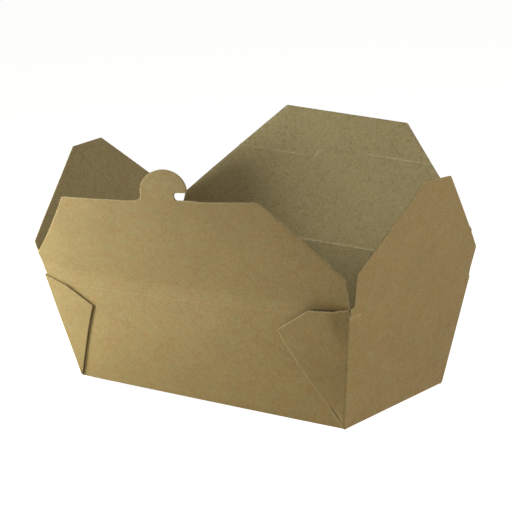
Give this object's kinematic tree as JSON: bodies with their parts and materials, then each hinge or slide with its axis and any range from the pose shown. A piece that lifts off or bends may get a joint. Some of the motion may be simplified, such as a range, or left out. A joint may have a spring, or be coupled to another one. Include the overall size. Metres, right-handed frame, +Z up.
{
  "type": "takeaway box",
  "caption": "Folded kraft card food box with flared walls, folded corner ears, and hinged flaps round the open top; a round tab hooks into a slit to hold it shut.",
  "frame": {"origin": "middle of the underside of the base, on the surface that the box stands on", "axes": "+X to the right along the longer side, -Y towards the side with the round tab, +Z up"},
  "size_m": [0.2116, 0.1666, 0.1242],
  "materials": {
    "kraft_outside": "matte brown kraft face of the board, faintly mottled",
    "kraft_inside": "matte fibrous face of the board, greyer, with fine fibres"
  },
  "bodies": {
    "tray": {"tray": "kraft_outside"},
    "front_flap": {"front_flap": "kraft_outside"},
    "back_flap": {"back_flap": "kraft_inside"},
    "left_flap": {"left_flap": "kraft_inside"},
    "right_flap": {"right_flap": "kraft_outside"}
  },
  "joints": [
    {"name": "front_flap_fold", "type": "hinge", "parent": "tray", "child": "front_flap", "pos_m": [0, -0.05432, 0.061], "axis": [-1, 0, 0], "range_deg": [-85, 115]},
    {"name": "back_flap_fold", "type": "hinge", "parent": "tray", "child": "back_flap", "pos_m": [0, 0.05416, 0.06015], "axis": [1, 0, 0], "range_deg": [-86, 114]},
    {"name": "left_flap_fold", "type": "hinge", "parent": "tray", "child": "left_flap", "pos_m": [-0.091, 0, 0.0593], "axis": [0, 1, 0], "range_deg": [-93.5, 106.5]},
    {"name": "right_flap_fold", "type": "hinge", "parent": "tray", "child": "right_flap", "pos_m": [0.091, 0, 0.0593], "axis": [0, -1, 0], "range_deg": [-95.5, 104.5]}
  ]
}
